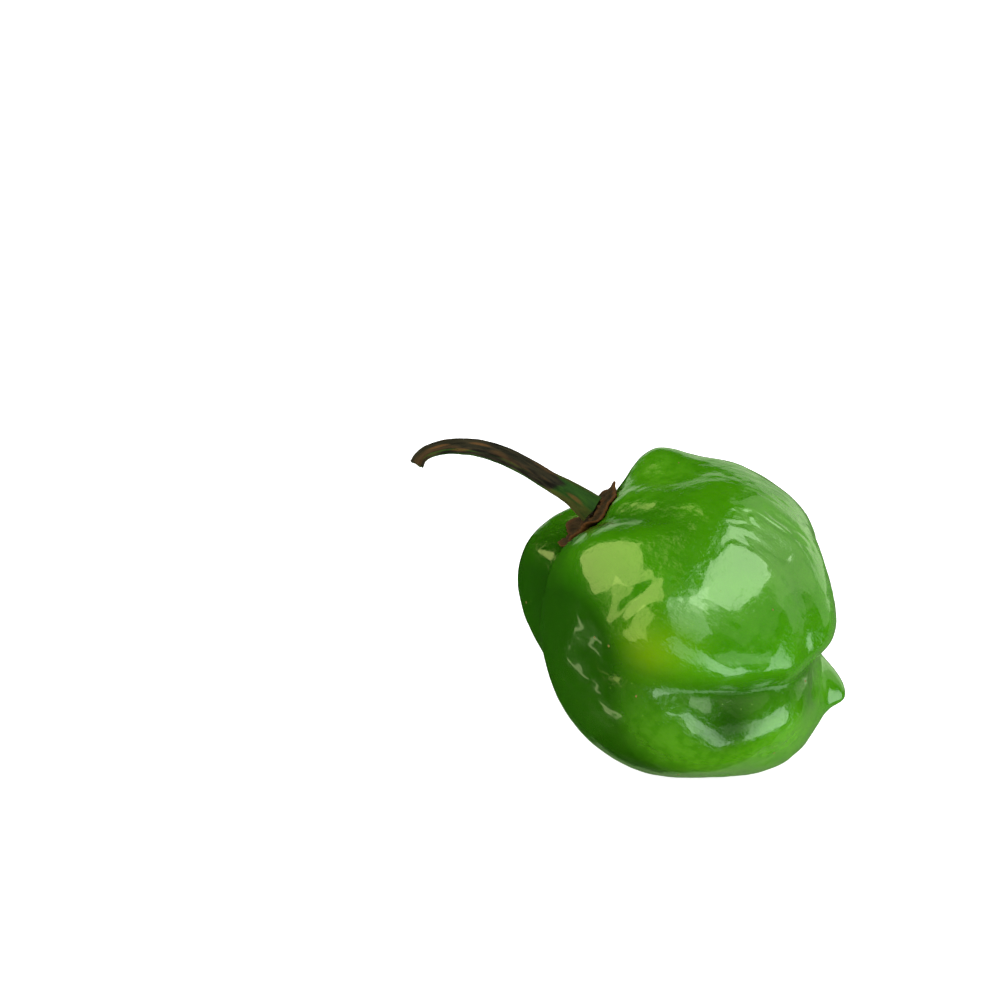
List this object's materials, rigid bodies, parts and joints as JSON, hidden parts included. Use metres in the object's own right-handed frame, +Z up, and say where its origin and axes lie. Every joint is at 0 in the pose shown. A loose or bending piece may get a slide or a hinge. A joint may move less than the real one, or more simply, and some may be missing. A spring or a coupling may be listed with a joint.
{
  "type": "chilli pepper",
  "caption": "Round, lobed green chilli pepper lying on its side, with sunken calyx, curved stem and small pointed tip.",
  "frame": {"origin": "on the table, in the flat spot the pod rests on, under its centre of mass", "axes": "+Z up from the table; +X along the table towards the pod's tip, the stem end towards -X; +Y to the side of the hidden rear lobe"},
  "size_m": [0.0603, 0.043, 0.0431],
  "materials": {
    "pod_skin": "waxy gloss, green",
    "calyx_husk": "dry dark brown husk",
    "stem_bark": "dull brown-green bark"
  },
  "bodies": {
    "root": {"pod": "pod_skin", "calyx": "calyx_husk", "stem": "stem_bark"}
  },
  "joints": []
}
